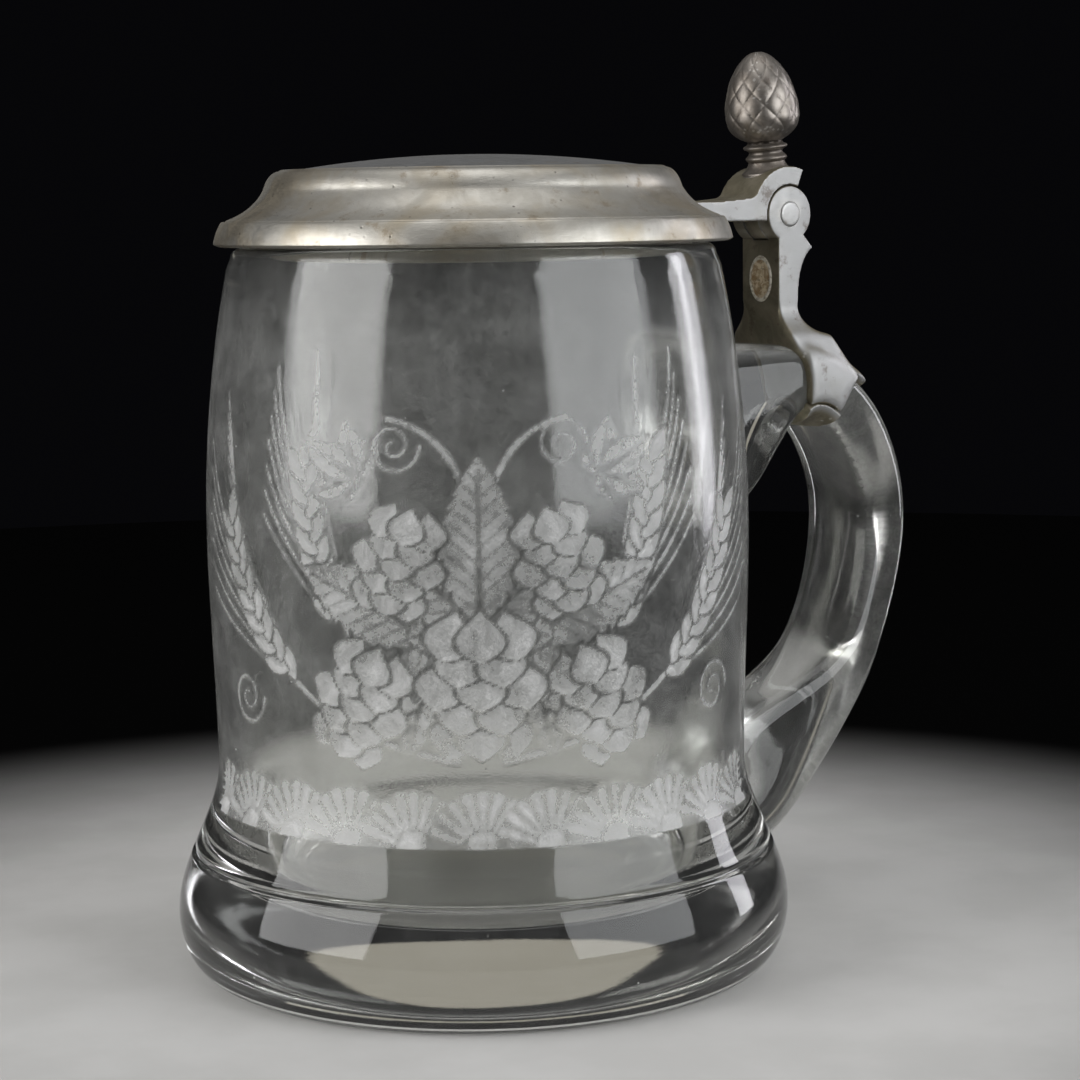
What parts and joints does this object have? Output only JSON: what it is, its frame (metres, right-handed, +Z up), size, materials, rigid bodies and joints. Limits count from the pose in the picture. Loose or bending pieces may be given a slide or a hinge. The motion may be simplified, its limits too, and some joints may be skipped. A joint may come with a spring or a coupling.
{
  "type": "beer stein",
  "caption": "Glass drinking mug with a waisted body, spread foot and loop handle, closed by a hinged pewter lid that a cone-shaped thumb piece lifts.",
  "frame": {"origin": "centre of the resting face under the foot", "axes": "+Z up, +X from the mug's axis towards the handle, +Y along the lid's hinge axis"},
  "size_m": [0.1519, 0.11, 0.1629],
  "materials": {
    "clear_glass": "polished, clear, with a matt wheel-cut design on the outside",
    "cast_pewter": "satin cast pewter, slightly pitted",
    "bright_pewter": "rubbed pewter, brighter where it is handled",
    "dark_pewter": "darkened pewter"
  },
  "bodies": {
    "mug": {"glass_body": "clear_glass", "glass_handle": "clear_glass", "hinge_shank": "bright_pewter", "handle_strap": "bright_pewter", "hinge_pin": "bright_pewter"},
    "lid": {"lid_shell": "cast_pewter", "lid_dome": "dark_pewter", "lid_tang": "bright_pewter", "thumblift": "dark_pewter"}
  },
  "joints": [
    {"name": "lid_hinge", "type": "hinge", "parent": "mug", "child": "lid", "pos_m": [0.0693, 0, 0.1324], "axis": [0, 1, 0], "range_deg": [0, 114]}
  ]
}
